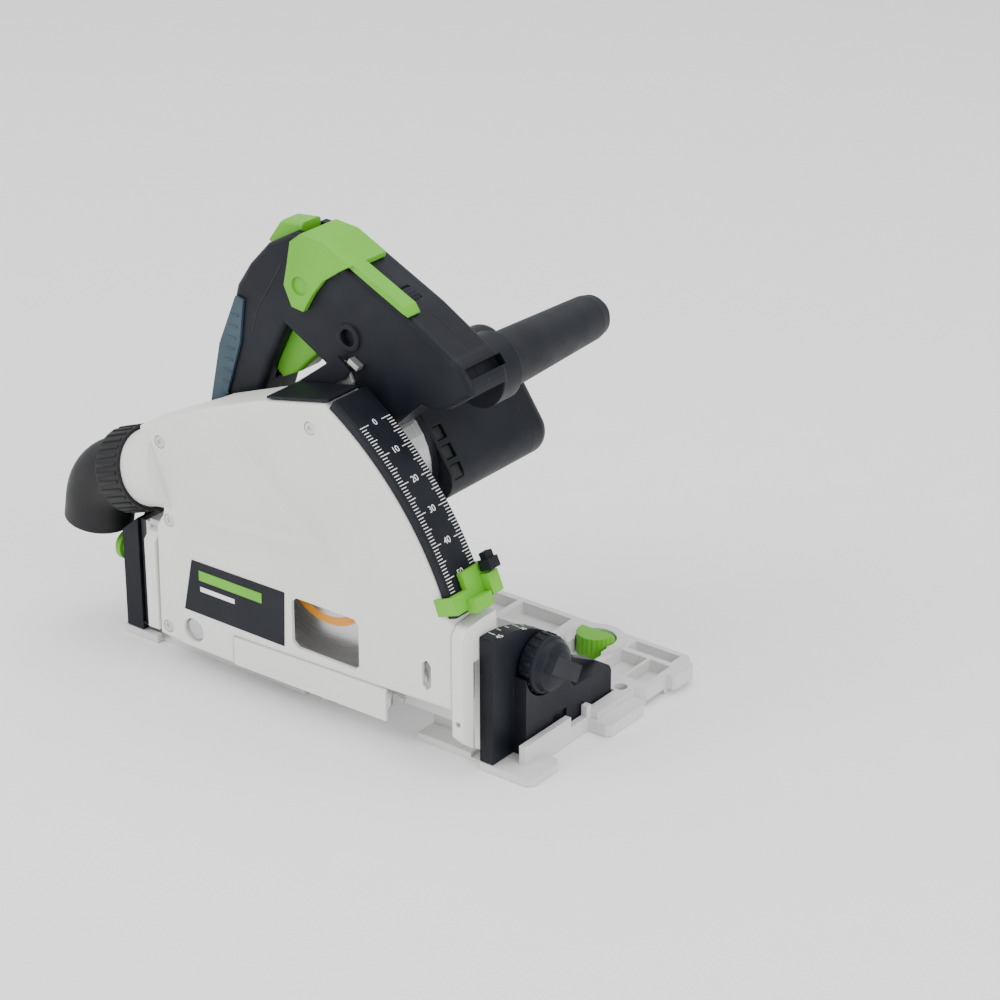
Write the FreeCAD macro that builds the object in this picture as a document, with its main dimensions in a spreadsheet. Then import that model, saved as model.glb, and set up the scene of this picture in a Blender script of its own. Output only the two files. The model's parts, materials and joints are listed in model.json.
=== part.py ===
import FreeCAD, Part
import Sketcher
import math
import os

# Track plunge saw with a 160 mm blade.  Units are millimetres.
# +X is the cutting direction, +Y the motor side, +Z up.
# The origin lies on the sole, on the cut line, at mid length.

V = FreeCAD.Vector
doc = FreeCAD.newDocument("TrackSaw")
sheet = doc.addObject("Spreadsheet::Sheet", "Dims")

DIMS = {
    "base_front": 139, "base_rear": -143, "base_far": 148, "base_near": 2, "base_high": 11,
    "deck_high": 4, "foot_high": 4.5, "groove_near": 104, "groove_far": 121, "groove_deep": 3,
    "pivot_x": -78, "pivot_z": 26, "swing": 103, "rest_angle": 33.9, "plunge_angle": 34.4,
    "blade_rad": 80, "blade_bore": 10, "cover_y": -15, "cover_wall": 2, "wall_y": 9,
    "strip_in": 187, "strip_out": 192.4, "strip_low": 19.5, "strip_top": 57.5,
    "motor_x": 3, "motor_z": 132.5, "motor_rad": 38, "motor_near": 45, "motor_far": 119,
    "cap_far": 137, "case_near": 12.6, "boss_rad": 19,
    "handle_y": 33, "handle_half": 16,
    "seg_in": 108.9, "seg_out": 117.3, "seg_rad": 77, "panel_x": 125.5,
    "knob_y": 33, "knob_z": 51.5, "port_y": 4, "port_drop": 20,
    "elbow_rad": 19.5, "elbow_bore": 16.5, "elbow_bend": 26, "elbow_turn": 60,
}
for row, (name, value) in enumerate(DIMS.items(), start=1):
    sheet.set(f"A{row}", name)
    sheet.set(f"B{row}", str(value))
    sheet.setAlias(f"B{row}", name)
doc.recompute()


def val(x):
    """Number behind a plain value or a sheet alias."""
    return float(DIMS[x]) if isinstance(x, str) else float(x)


def bind(obj, prop, x):
    """Set a property from a number, or tie it to the sheet."""
    if isinstance(x, str):
        obj.setExpression(prop, f"Dims.{x}")
    else:
        head, _, tail = prop.partition(".")
        if not tail:
            setattr(obj, head, x)


PIVOT = (val("pivot_x"), val("pivot_z"))
REST = math.radians(val("rest_angle"))
ARBOR = (PIVOT[0] + val("swing") * math.cos(REST), PIVOT[1] + val("swing") * math.sin(REST))
MOTOR = (val("motor_x"), val("motor_z"))


def polar(centre, radius, degrees):
    a = math.radians(degrees)
    return (centre[0] + radius * math.cos(a), centre[1] + radius * math.sin(a))


def arc_points(centre, radius, start, end, count=24):
    return [polar(centre, radius, start + (end - start) * i / count) for i in range(count + 1)]


def sector(centre, r_in, r_out, start, end, count=24):
    """Closed ring sector outline."""
    return arc_points(centre, r_out, start, end, count) + arc_points(centre, r_in, end, start, count)


def rect(x0, y0, x1, y1):
    return [(x0, y0), (x1, y0), (x1, y1), (x0, y1)]


class Circle:
    def __init__(self, x, y, radius):
        self.x, self.y, self.radius = x, y, radius


class Rounded:
    """Closed outline of straight sides with every corner rounded to one radius."""

    def __init__(self, points, radius):
        self.points, self.radius = points, radius

    def edges(self):
        count = len(self.points)
        corners = []
        for i in range(count):
            p = V(*self.points[i], 0)
            back = (V(*self.points[i - 1], 0) - p).normalize()
            ahead = (V(*self.points[(i + 1) % count], 0) - p).normalize()
            half = back.getAngle(ahead) / 2
            reach = self.radius / math.tan(half)
            centre = p + (back + ahead).normalize() * (self.radius / math.sin(half))
            middle = centre + (p - centre).normalize() * self.radius
            corners.append((p + back * reach, middle, p + ahead * reach))
        for i, (start, middle, stop) in enumerate(corners):
            yield Part.Arc(start, middle, stop)
            yield Part.LineSegment(stop, corners[(i + 1) % count][0])


class Node:
    """One named piece: a PartDesign body built from sketches on its own origin planes."""

    PLANES = {"xy": "XY_Plane", "xz": "XZ_Plane", "yz": "YZ_Plane"}

    def __init__(self, label):
        self.body = doc.addObject("PartDesign::Body", label)
        self.body.Label = label
        self.count = 0

    def sketch(self, plane, offset, loops, axis=None):
        """Sketch on an origin plane; offset is the world coordinate along the plane's axis."""
        self.count += 1
        sk = self.body.newObject("Sketcher::SketchObject", f"{self.body.Name}_sk{self.count}")
        origin = next(o for o in self.body.Origin.OriginFeatures if o.Role == self.PLANES[plane])
        sk.AttachmentSupport = [(origin, "")]
        sk.MapMode = "FlatFace"
        sk.AttachmentOffset = FreeCAD.Placement(V(0, 0, -offset if plane == "xz" else offset),
                                                FreeCAD.Rotation())
        for loop in loops:
            if isinstance(loop, Circle):
                g = sk.addGeometry(Part.Circle(V(loop.x, loop.y, 0), V(0, 0, 1), val(loop.radius)))
                c = sk.addConstraint(Sketcher.Constraint("Radius", g, val(loop.radius)))
                if isinstance(loop.radius, str):
                    sk.setExpression(f"Constraints[{c}]", f"Dims.{loop.radius}")
            elif isinstance(loop, Rounded):
                for edge in loop.edges():
                    sk.addGeometry(edge)
            else:
                ends = [V(p[0], p[1], 0) for p in loop]
                for a, b in zip(ends, ends[1:] + ends[:1]):
                    sk.addGeometry(Part.LineSegment(a, b))
        if axis:
            g = sk.addGeometry(Part.LineSegment(V(*axis[0], 0), V(*axis[1], 0)), True)
        return sk

    def _prism(self, kind, plane, low, high, loops):
        """Extrude loops between two world coordinates along the plane's axis."""
        start = val(high) if plane == "xz" else val(low)
        sk = self.sketch(plane, start, loops)
        f = self.body.newObject(f"PartDesign::{kind}", f"{self.body.Name}_{kind.lower()}{self.count}")
        f.Profile = sk
        f.Length = val(high) - val(low)
        if isinstance(low, str) or isinstance(high, str):
            terms = [f"Dims.{v}" if isinstance(v, str) else str(v) for v in (high, low)]
            f.setExpression("Length", f"{terms[0]} - ({terms[1]})")
            edge = terms[0] if plane == "xz" else terms[1]
            sign = "-1 * " if plane == "xz" else ""
            sk.setExpression("AttachmentOffset.Base.z", f"{sign}({edge})")
        if kind == "Pocket":
            f.Reversed = True
        sk.Visibility = False
        self.body.Tip = f
        return self

    def pad(self, plane, low, high, *loops):
        return self._prism("Pad", plane, low, high, loops)

    def cut(self, plane, low, high, *loops):
        return self._prism("Pocket", plane, low, high, loops)

    def _turn(self, kind, plane, offset, base, direction, profile, angle=360):
        """Revolve a profile of (along, radius) pairs about an axis lying in the sketch plane."""
        d = math.radians(direction)
        along, out = (math.cos(d), math.sin(d)), (-math.sin(d), math.cos(d))
        pts = [(base[0] + s * along[0] + r * out[0], base[1] + s * along[1] + r * out[1])
               for s, r in profile]
        tip = (base[0] + 10 * along[0], base[1] + 10 * along[1])
        sk = self.sketch(plane, offset, [pts], axis=(base, tip))
        f = self.body.newObject(f"PartDesign::{kind}", f"{self.body.Name}_{kind.lower()}{self.count}")
        f.Profile = sk
        f.ReferenceAxis = (sk, ["Axis0"])
        f.Angle = angle
        sk.Visibility = False
        self.body.Tip = f
        return self

    def turn_y(self, x, z, profile):
        """Turned along Y: profile of (y, radius)."""
        return self._turn("Revolution", "xy", z, (x, 0), 90, profile)

    def bore_y(self, x, z, profile):
        return self._turn("Groove", "xy", z, (x, 0), 90, profile)

    def turn_x(self, y, z, profile):
        """Turned along X: profile of (x, radius)."""
        return self._turn("Revolution", "xy", z, (0, y), 0, profile)

    def turn_z(self, x, y, profile):
        """Turned along Z: profile of (z, radius)."""
        return self._turn("Revolution", "xz", y, (x, 0), 90, profile)

    def turn_xz(self, y, base, direction, profile):
        """Turned about an axis in a plane of constant Y."""
        return self._turn("Revolution", "xz", y, base, direction, profile)

    def bore_xz(self, y, base, direction, profile):
        return self._turn("Groove", "xz", y, base, direction, profile)

    def dress(self, kind, size, test):
        """Fillet or chamfer the edges whose end points and middle satisfy the test."""
        doc.recompute()
        last = self.body.Tip
        shape = last.Shape
        names = [f"Edge{i}" for i, e in enumerate(shape.Edges, start=1)
                 if e.Length > 0.5 and test(e.BoundBox, e)]
        f = self.body.newObject(f"PartDesign::{kind}", f"{self.body.Name}_{kind.lower()}{self.count}x")
        f.Base = (last, names)
        if kind == "Fillet":
            f.Radius = size
        else:
            f.Size = size
        self.body.Tip = f
        return self


def flat_edges(*levels):
    """Edges lying wholly in the given Y planes."""
    return lambda b, e: any(abs(b.YMin - y) < 0.01 and abs(b.YMax - y) < 0.01 for y in levels)


AXES = {"x": FreeCAD.Rotation(V(0, 1, 0), 90), "y": FreeCAD.Rotation(V(1, 0, 0), -90),
        "z": FreeCAD.Rotation()}


def cylinder(name, at, axis, radius, length):
    """Cylinder primitive starting at a point and running along +axis."""
    c = doc.addObject("Part::Cylinder", name)
    c.Placement = FreeCAD.Placement(V(*at), AXES[axis])
    bind(c, "Radius", radius)
    bind(c, "Height", length)
    return c


def prism(name, at, axis, sides, radius, length):
    p = doc.addObject("Part::Prism", name)
    p.Placement = FreeCAD.Placement(V(*at), AXES[axis])
    p.Polygon, p.Circumradius, p.Height = sides, radius, length
    return p


def cut_from(name, base_shape, tool):
    c = doc.addObject("Part::Cut", name)
    c.Base, c.Tool = base_shape, tool
    return c


def fuse(name, shapes):
    f = doc.addObject("Part::MultiFuse", name)
    f.Shapes = shapes
    return f


def group(label, members):
    """Identical separate pieces kept in one node."""
    g = doc.addObject("Part::Compound", label)
    g.Label = label
    g.Links = members
    return g


def screw(name, head, axis, head_rad, head_long, shank_rad, shank_long, sign=1):
    """Socket screw; the head sits at the start and the shank runs along sign * axis."""
    x, y, z = head
    step = {"x": V(sign, 0, 0), "y": V(0, sign, 0), "z": V(0, 0, sign)}[axis]
    at = V(x, y, z)
    low = lambda p, length: p if sign > 0 else p + step * length
    h = cylinder(f"{name}_head", low(at, head_long), axis, head_rad, head_long)
    n = at + step * (head_long - 0.2)
    k = cylinder(f"{name}_shank", low(n, shank_long), axis, shank_rad, shank_long)
    d = at - step * 0.1
    hexa = prism(f"{name}_socket", low(d, head_long * 0.6), axis, 6, head_rad * 0.5, head_long * 0.6)
    return cut_from(name, fuse(f"{name}_body", [h, k]), hexa)


def ring(name, at, axis, outer, inner, length):
    d = V(*at) - {"x": V(1, 0, 0), "y": V(0, 1, 0), "z": V(0, 0, 1)}[axis]
    return cut_from(name, cylinder(f"{name}_out", at, axis, outer, length),
                    cylinder(f"{name}_in", tuple(d), axis, inner, length + 2))


def gear_outline(centre, teeth, module, phase, thickness=0.42):
    """Straight-sided teeth; phase is the angle in degrees of one tooth centre."""
    root, tip = module * (teeth / 2 - 1.15), module * (teeth / 2 + 0.8)
    step = 360 / teeth
    pts = []
    for i in range(teeth):
        a = phase + i * step
        for r, f in ((root, -0.36), (tip, -0.5 * thickness + 0.09), (tip, 0.5 * thickness - 0.09),
                     (root, 0.36)):
            pts.append(polar(centre, r, a + f * step))
    return pts


# ---------------------------------------------------------------- base
NEAR, FAR = val("base_near"), val("base_far")
FRONT, REAR = val("base_front"), val("base_rear")

base = Node("base_plate")
base.pad("xy", 0, "base_high", [
    (REAR, NEAR + 8), (-126, NEAR + 8), (-126, NEAR), (126, NEAR), (126, 8), (130, 8), (130, 66), (134, 66),
    (134, 100), (FRONT, 104), (FRONT, FAR - 3), (FRONT - 3, FAR), (REAR + 3, FAR), (REAR, FAR - 3)])
base.pad("xy", 0, "foot_high", [(109, -2.8), (139, -2.8), (142, 0), (142, 20), (139, 24), (109, 24)])
base.pad("xy", 0, "foot_high", [(-143, -2.8), (-118, -2.8), (-118, 20), (-143, 20)])
base.pad("xy", 0, 7, [(128, 63.5), (141, 63.5), (143.5, 66), (143.5, 95), (141, 98), (128, 98)])
base.pad("xy", 3, "base_high", [(136, 122.6), (143, 122.6), (144.5, 125), (144.5, 140), (142, 142.4),
                                (136, 142.4)])
# front wall with a notch for the rail clip
base.pad("xz", 8, 66, rect(126.2, 4, 130, 15))
base.cut("xz", 48, 62, rect(125, 9, 131, 16))
# openings for the plunging gear case and the blade
base.cut("xy", -1, 20, rect(-14, NEAR - 1, 64, 47))
base.cut("xy", -1, 20, rect(-70, 52, 60, 90))
# pockets between the stiffening ribs
for x0, y0, x1, y1 in ((104, 135.5, 133, 144.5), (103, 108, 120, 131.5), (122, 108, 135, 131.5),
                       (-60, 124, -22, 144), (-18, 124, 22, 144), (26, 124, 60, 144),
                       (-60, 94, -22, 120), (-18, 94, 22, 120), (26, 94, 62, 120),
                       (-112, 94, -104, 144), (-136, 94, -116, 118), (-136, 122, -116, 144)):
    base.cut("xy", "deck_high", 20, rect(x0, y0, x1, y1))
# clearance under the tilting brackets and the housing edge
base.cut("xy", 1.6, 20, rect(99.5, NEAR - 1, 108.9, 80))
base.cut("xy", 1.6, 20, rect(-128.9, NEAR - 1, -112, 80))
base.cut("xy", "deck_high", 20, rect(-112, NEAR - 1, 99.6, 16))
base.cut("xy", "deck_high", 20, rect(66, 20, 96, 90))
base.cut("xy", "deck_high", 20, rect(-110, 20, -74, 90))
# seats of the two segments
base.cut("xy", "foot_high", 20, rect(108.5, NEAR - 1, 126.3, 92))
base.cut("xy", "foot_high", 20, rect(-150, NEAR - 9, -128.5, 92))
# guide rail groove in the sole
base.cut("xy", -1, "groove_deep", [(REAR - 1, val("groove_near")), (150, val("groove_near")),
                                   (150, val("groove_far")), (REAR - 1, val("groove_far"))])
base.cut("xy", -1, 1.2, rect(REAR - 1, 91.5, 121, 101.5))
# round hole and jaw wells
base.cut("xy", -1, 20, Circle(127, 97, 3.6))
JAWS = ((86, 131), (-90, 131))
for jx, jy in JAWS:
    base.pad("xy", 3.2, 13, Circle(jx, jy, 17))
    base.cut("xy", 5, 20, Circle(jx, jy, 11.6))
    base.cut("xy", 5, 20, rect(jx - 9, jy - 20, jx + 12, jy - 5))
    base.cut("xy", -1, 6, Circle(jx, jy, 4.35))
SEG_HOLES = ((114, 42), (114, 74), (-135, 42), (-135, 74))
base.cut("xy", -1, 6, *[Circle(x, y, 2.1) for x, y in SEG_HOLES])
base.cut("xy", -1, 1.9, *[Circle(x, y, 3.9) for x, y in SEG_HOLES])

strips = Node("glide_strips")
strips.pad("xy", 0, 1.2, rect(-142, 92, 120, 101))

for name, (jx, jy) in zip(("front_jaw_adjuster", "rear_jaw_adjuster"), JAWS):
    jaw = Node(name)
    jaw.pad("xy", 5.4, 17, Circle(jx, jy, 10.8))
    jaw.pad("xy", 1, 5.4, Circle(jx, jy, 4))
    jaw.cut("xy", 7, 18, *[Circle(*polar((jx, jy), 11.3, a), 0.9) for a in range(185, 360, 15)])
    jaw.cut("xy", 12, 18, rect(jx - 12, jy + 2, jx + 12, jy + 12))


KNOB = (val("knob_y"), val("knob_z"))
front_segment = Node("front_segment")
front_segment.pad("yz", "seg_in", "seg_out",
                  [(-2.4, 5)] + arc_points((0, 0), val("seg_rad"), 91.8, 30, 26)
                  + [(88, 27.5), (90, 24), (90, 5)])
front_segment.pad("yz", "seg_in", "panel_x",
                  [(15, 5)] + arc_points((33, 53), 18.3, 190, 318, 16)
                  + [(56.5, 28.5), (88, 27.5), (90, 24), (90, 5)])
front_segment.cut("yz", 100, 130, Circle(KNOB[0], KNOB[1], 3.15))
front_segment.cut("yz", 124, 130, rect(38, 14, 50, 19))
front_segment.cut("xy", -1, 14, Circle(114, 42, 1.6), Circle(114, 74, 1.6))

rear_segment = Node("rear_segment")
rear_segment.pad("yz", -141, -129,
                 [(-2.4, 5)] + arc_points((0, 0), 77, 91.8, 30, 26)
                 + [(88, 27.5), (90, 24), (90, 5)])
rear_segment.cut("yz", -150, -120, Circle(KNOB[0], KNOB[1], 3.15))
rear_segment.cut("yz", -143, -134, Circle(KNOB[0], KNOB[1], 18), rect(62, 8, 84, 24))
rear_segment.cut("yz", -142, -134.2, Circle(6.5, 49.5, 6.6))
rear_segment.cut("xz", -10, 100, [(-142, 63), (-128, 75), (-128, 90), (-142, 90)])
rear_segment.cut("xy", -1, 14, Circle(-135, 42, 1.6), Circle(-135, 74, 1.6))

group("segment_screws", [screw(f"seg_screw{i}", (x, y, 0.2), "z", 3.7, 1.7, 1.6, 11)
                         for i, (x, y) in enumerate(SEG_HOLES)])

button = Node("undercut_button")
button.turn_x(6.5, 49.5, [(-149, 0), (-149, 7.4), (-148, 8.3), (-144.6, 8.3), (-144.6, 6.1), (-137.8, 6.1),
                          (-137.8, 0)])

knob = Node("front_knob")
knob.turn_x(*KNOB, [(117.8, 3.08), (117.8, 14.4), (118.6, 15.6), (126, 15.6), (127, 15.2), (127.6, 14.2),
                    (131, 13), (134, 9), (135, 4), (135, 0), (128, 0), (128, 3.08)])
knob.pad("yz", 122, 137, [(KNOB[0] - 12, KNOB[1] + 3), (KNOB[0] + 10, KNOB[1] - 11.5),
                          (KNOB[0] + 15, KNOB[1] - 3.5), (KNOB[0] - 6, KNOB[1] + 11)])
knob.cut("yz", 117, 128, Circle(*KNOB, 3.08))

rear_knob = Node("rear_knob")
rear_knob.turn_x(*KNOB, [(-134.5, 3.08), (-134.5, 14.4), (-135.3, 15.6), (-141, 15.6), (-142, 14.8),
                         (-146, 13), (-148.5, 9), (-149, 4), (-149, 0), (-143, 0), (-143, 3.08)])
rear_knob.pad("yz", -151, -140, [(KNOB[0] - 12, KNOB[1] + 3), (KNOB[0] + 10, KNOB[1] - 11.5),
                                 (KNOB[0] + 15, KNOB[1] - 3.5), (KNOB[0] - 6, KNOB[1] + 11)])
rear_knob.cut("yz", -143, -134, Circle(*KNOB, 3.08))

front_bolt = Node("front_clamp_bolt")
front_bolt.turn_x(*KNOB, [(102.2, 0), (102.2, 6), (103.7, 6), (103.7, 3), (127.6, 3), (127.6, 0)])
rear_bolt = Node("rear_clamp_bolt")
rear_bolt.turn_x(*KNOB, [(-121.4, 0), (-121.4, 6), (-123.7, 6), (-123.7, 3), (-142.6, 3), (-142.6, 0)])

# ---------------------------------------------------------------- tilting saw housing
COVER_Y, WALL = val("cover_y"), val("cover_wall")
IN_Y = COVER_Y + WALL

RIM = arc_points(PIVOT, 186.6, 58.5, 20.2, 30)
OUTLINE = ([(-104, 16), (-103, 82), (-98, 90), (-97, 96), (-108, 98), (-112, 138), (-66, 160), (-23, 176)]
           + RIM + [(100.6, 84), (100.6, 36), (57, 34.2), (-49.3, 31.2), (-49.5, 14), (-84.6, 14.2)])

cover = Node("guard_cover")
cover.pad("xz", COVER_Y, 8.6, OUTLINE)
cover.dress("Fillet", 3, flat_edges(COVER_Y))
INNER = ([(-101.5, 10), (-100.5, 82), (-95.5, 90), (-94.5, 98.4), (-106, 100.4), (-109, 136), (-65, 157.3),
          (-22, 173.3)] + arc_points(PIVOT, 185, 57.5, 20, 30) + [(98, 82), (98, 10)])
cover.cut("xz", IN_Y, 9, INNER)
# window, level slot and screw bosses
cover.cut("xz", COVER_Y - 1, IN_Y + 0.5, [(-3, 39.6), (36.4, 39.6), (39.4, 42.4), (39.4, 66), (36.4, 69),
                                          (-3, 69), (-6.4, 66), (-6.4, 42.6)])
cover.cut("xz", COVER_Y - 1, IN_Y + 0.5, [(81.4, 46), (84.3, 43.4), (87.2, 46), (87.2, 58), (84.3, 60.8),
                                          (81.4, 58)])
port_base, drop = (-97, 113.5), 180 + val("port_drop")
cover.turn_xz(val("port_y"), port_base, drop, [(0, 0), (0, 27), (10, 24), (24, 21.5), (36, 21.5), (36, 0)])
cover.bore_xz(val("port_y"), port_base, drop, [(-14, 0), (-14, 18), (40, 18), (40, 0)])
cover.cut("xz", -7, 3.6, rect(90, 20, 102, 82))
cover.cut("xz", COVER_Y - 1, 10, Circle(*PIVOT, 7))
SCREWS = ((9.9, 169.6), (-96.5, 133), (-92.5, 88), (-97, 22.5))
for sx, sz in SCREWS:
    cover.pad("xz", IN_Y - 0.5, 8.6, Circle(sx, sz, 4.2))
for sx, sz in SCREWS:
    cover.cut("xz", COVER_Y - 1, 13, Circle(sx, sz, 1.9))
    cover.cut("xz", COVER_Y - 1, COVER_Y + 1.6, Circle(sx, sz, 3.7))

wall = Node("guard_housing")
wall.pad("xz", "wall_y", 12, [(-103.5, 14), (-103, 82), (-98, 88.4), (-87.2, 88.4), (-105.4, 138.9),
                              (-66, 160), (-23, 176)] + RIM + [(100.6, 84), (100.6, 14)])
wall.cut("xz", 8, 13, sector(PIVOT, 78, 128, -16, 48.5, 40))
wall.cut("xz", 8, 13, Circle(*PIVOT, 5))
wall.cut("xz", 8, 13, *[Circle(sx, sz, 1.6) for sx, sz in SCREWS])


def bracket(label, clamp_x, skirt_x, top):
    """Tilting bracket: clamp plate with an arcuate slot and a skirt around the blade side."""
    node = Node(label)
    plate = [(2, 7), (2, 67)] + arc_points((0, 0), 67.6, 88, 9, 24) + [(66, 7)]
    node.pad("yz", *clamp_x, plate)
    node.pad("yz", *skirt_x, [(-15, 22), (-15, top - 6), (-11, top - 1), (0, top), (12, top), (12, 7),
                              (0, 7)])
    node.dress("Fillet", 3, lambda b, e: b.XLength > 6 and b.YMax < -9 and b.YLength < 0.1 and b.ZMin > 30)
    node.cut("yz", clamp_x[0] - 1, clamp_x[1] + 1, sector((0, 0), 57.6, 64.6, 62, 4, 24))
    return node


front_bracket = bracket("front_bracket", (104, 108.4), (101, 108.4), 86.2)
front_bracket.cut("yz", 100, 109, rect(-7, 6, 3.6, 64))
front_bracket.cut("xz", -16, -8, Circle(104.6, 30, 1.6))
rear_bracket = bracket("rear_bracket", (-128.4, -124), (-128.4, -121), 73.5)
rear_bracket.pad("yz", -121.2, -104.3, [(-15, 18), (-15, 71), (-11, 75.5), (12, 75.5), (12, 14), (8.6, 14),
                                        (8.6, 72), (-9, 72), (-13, 68), (-13, 18)])
rear_bracket.cut("xz", -16, -0.5, rect(-130, 10, -112, 80))

tongue = Node("tongue_panel")
tongue.pad("xz", -14.6, -12.95, [(-49.1, 14.4), (56.4, 15.4), (56.4, 33.9), (-49.1, 30.9)])
tongue.pad("xz", -12.95, -11.9, [(-45, 20), (52, 22), (52, 38), (-45, 36)])

strip = Node("depth_scale_strip")
strip.pad("xz", -14, 12, sector(PIVOT, *[val(f"strip_{k}") for k in ("in", "out", "low", "top")], 40))
strip.dress("Fillet", 1.2, lambda b, e: flat_edges(-14, 12)(b, e) and e.Length < 8
            and math.dist((e.CenterOfMass.x, e.CenterOfMass.z), PIVOT) > 190)

plate = Node("name_plate")
plate.pad("xz", -15.4, -15, [(-77, 69.2), (-11, 69.9), (-12.2, 37.7), (-83.6, 37.9)])

pin = Node("pivot_pin")
pin.turn_y(*PIVOT, [(-12.9, 0), (-12.9, 6), (-10, 6), (-10, 4.98), (51.4, 4.98), (51.4, 7), (53.4, 7),
                    (53.4, 0)])
group("cover_screws", [screw(f"cover_screw{i}", (x, COVER_Y + 0.2, z), "y", 3.4, 1.3, 1.58, 25)
                       for i, (x, z) in enumerate(SCREWS)])

# flat spiral return spring around the pivot pin
TURNS, COIL_IN, COIL_STEP, COIL_THICK = 3, 5.3, 1.7, 0.8
inner_edge = [polar(PIVOT, COIL_IN + COIL_STEP * a / 360, a) for a in range(0, 360 * TURNS + 1, 15)]
outer_edge = [polar(PIVOT, COIL_IN + COIL_THICK + COIL_STEP * a / 360, a)
              for a in range(360 * TURNS, -1, -15)]
spring = Node("return_spring")
spring.pad("xz", 43.4, 49.6, inner_edge + outer_edge)

# dust port: locking collar and swivel elbow
PORT_Y = val("port_y")
DROP = math.radians(drop)
port = lambda s: (port_base[0] + s * math.cos(DROP), port_base[1] + s * math.sin(DROP))
collar = Node("dust_collar")
collar.turn_xz(PORT_Y, port_base, drop, [(28, 21.6), (28, 23.6), (46, 23.6), (48, 22), (48, 20), (36.5, 20),
                                         (36.5, 21.6)])
end = port(38)


def elbow_solid(name, radius, extra):
    """Straight inlet, bend and outlet of one radius."""
    d = V(math.cos(DROP), 0, math.sin(DROP))
    side = V(-math.sin(DROP), 0, math.cos(DROP))
    start = V(end[0], PORT_Y, end[1])
    inlet = doc.addObject("Part::Cylinder", f"{name}_inlet")
    inlet.Placement = FreeCAD.Placement(start - d * extra, FreeCAD.Rotation(V(0, 0, 1), d))
    bind(inlet, "Radius", radius)
    inlet.Height = 14 + extra
    knee = start + d * 14
    centre = knee + side * val("elbow_bend")
    bend = doc.addObject("Part::Torus", f"{name}_bend")
    bend.Placement = FreeCAD.Placement(centre, FreeCAD.Rotation(-side, d, V(0, -1, 0), "ZXY"))
    bind(bend, "Radius1", "elbow_bend")
    bind(bend, "Radius2", radius)
    bind(bend, "Angle3", "elbow_turn")
    turn = math.radians(val("elbow_turn"))
    out_dir = d * math.cos(turn) + side * math.sin(turn)
    out_pos = centre + (d * math.sin(turn) - side * math.cos(turn)) * val("elbow_bend")
    outlet = doc.addObject("Part::Cylinder", f"{name}_outlet")
    outlet.Placement = FreeCAD.Placement(out_pos, FreeCAD.Rotation(V(0, 0, 1), out_dir))
    bind(outlet, "Radius", radius)
    outlet.Height = 13 + extra
    return fuse(name, [inlet, bend, outlet])


elbow = cut_from("dust_elbow", elbow_solid("elbow_skin", "elbow_rad", 0),
                 elbow_solid("elbow_hollow", "elbow_bore", 1))
elbow.Label = "dust_elbow"

# depth stop riding on the strip
stop = Node("depth_stop")
stop.pad("xz", -16.6, 13.6, sector(PIVOT, 192.9, 196.5, 20.2, 23, 4))
stop.pad("xz", -4.8, 13.6, sector(PIVOT, 192.9, 196.5, 22.8, 25.6, 4))
stop.pad("xz", -16.6, -15.4, sector(PIVOT, 183, 193.4, 20.2, 23, 4))
stop.pad("xz", 12.5, 15.2, sector(PIVOT, 185.4, 196.5, 20.2, 25.6, 8))
stop.pad("xz", -8, 6, sector(PIVOT, 196, 202, 19.6, 21.6, 4))
stop.pad("xz", 7, 15.2, sector(PIVOT, 193.4, 202, 20.8, 24, 4))
stop_button = Node("depth_stop_button")
stop_button.pad("xz", 7.4, 15, sector(PIVOT, 198, 205.5, 24.4, 26, 4))
stop_button.pad("xz", 9, 14.6, sector(PIVOT, 199, 203.5, 26, 27, 4))

# ---------------------------------------------------------------- plunge unit
def hull(c1, r1, c2, r2, count=20):
    """Outline around two circles."""
    dx, dz = c2[0] - c1[0], c2[1] - c1[1]
    length = math.hypot(dx, dz)
    a = math.degrees(math.atan2(dz, dx))
    b = math.degrees(math.acos((r1 - r2) / length))
    return (arc_points(c1, r1, a + b, a + 360 - b, count) + arc_points(c2, r2, a - b, a + b, count))


def third_point(c1, d1, c2, d2):
    """Point at distance d1 from c1 and d2 from c2."""
    dx, dz = c2[0] - c1[0], c2[1] - c1[1]
    length = math.hypot(dx, dz)
    a = (d1 ** 2 - d2 ** 2 + length ** 2) / (2 * length)
    k = math.sqrt(d1 ** 2 - a ** 2)
    return (c1[0] + (a * dx - k * dz) / length, c1[1] + (a * dz + k * dx) / length)


def skew(u, v):
    """Point in the motor's own square frame, turned by the full plunge angle."""
    a = math.radians(val("plunge_angle"))
    return (MOTOR[0] + u * math.cos(a) - v * math.sin(a), MOTOR[1] + u * math.sin(a) + v * math.cos(a))


MODULE = 1.5
OUT_TEETH, IDLE_SMALL, IDLE_BIG, PINION = 22, 12, 24, 10
IDLER = third_point(MOTOR, MODULE * (PINION + IDLE_BIG) / 2, ARBOR, MODULE * (IDLE_SMALL + OUT_TEETH) / 2)
LID_Y = 41

case = Node("gear_case")
case.pad("xz", "case_near", LID_Y, hull(ARBOR, 24.5, MOTOR, 38))
case.pad("xz", "case_near", LID_Y, [PIVOT, (PIVOT[0] + 6, PIVOT[1] - 7), polar(ARBOR, 22, 225),
                                    polar(ARBOR, 22, 150), (PIVOT[0] - 4, PIVOT[1] + 11)])
case.pad("xz", "case_near", LID_Y, Circle(*PIVOT, 12))
case.pad("xz", 3, "case_near", Circle(*ARBOR, "boss_rad"))
case.pad("xz", 14.8, 16.8, [(-36, 168), (-6, 190), (2, 196), (9, 196), (14, 186), (10, 165), (0, 150),
                            (-24, 152)])
case.cut("xz", 14, 18, Circle(6, 192, 2.55))
case.cut("xz", 16.8, 46, hull(ARBOR, 22, MOTOR, 35))
case.cut("xz", 4.5, 17, Circle(*ARBOR, 13.05))
case.cut("xz", 2, 5, Circle(*ARBOR, 8))
case.cut("xz", 13.2, 17, Circle(*IDLER, 4.05))
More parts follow.
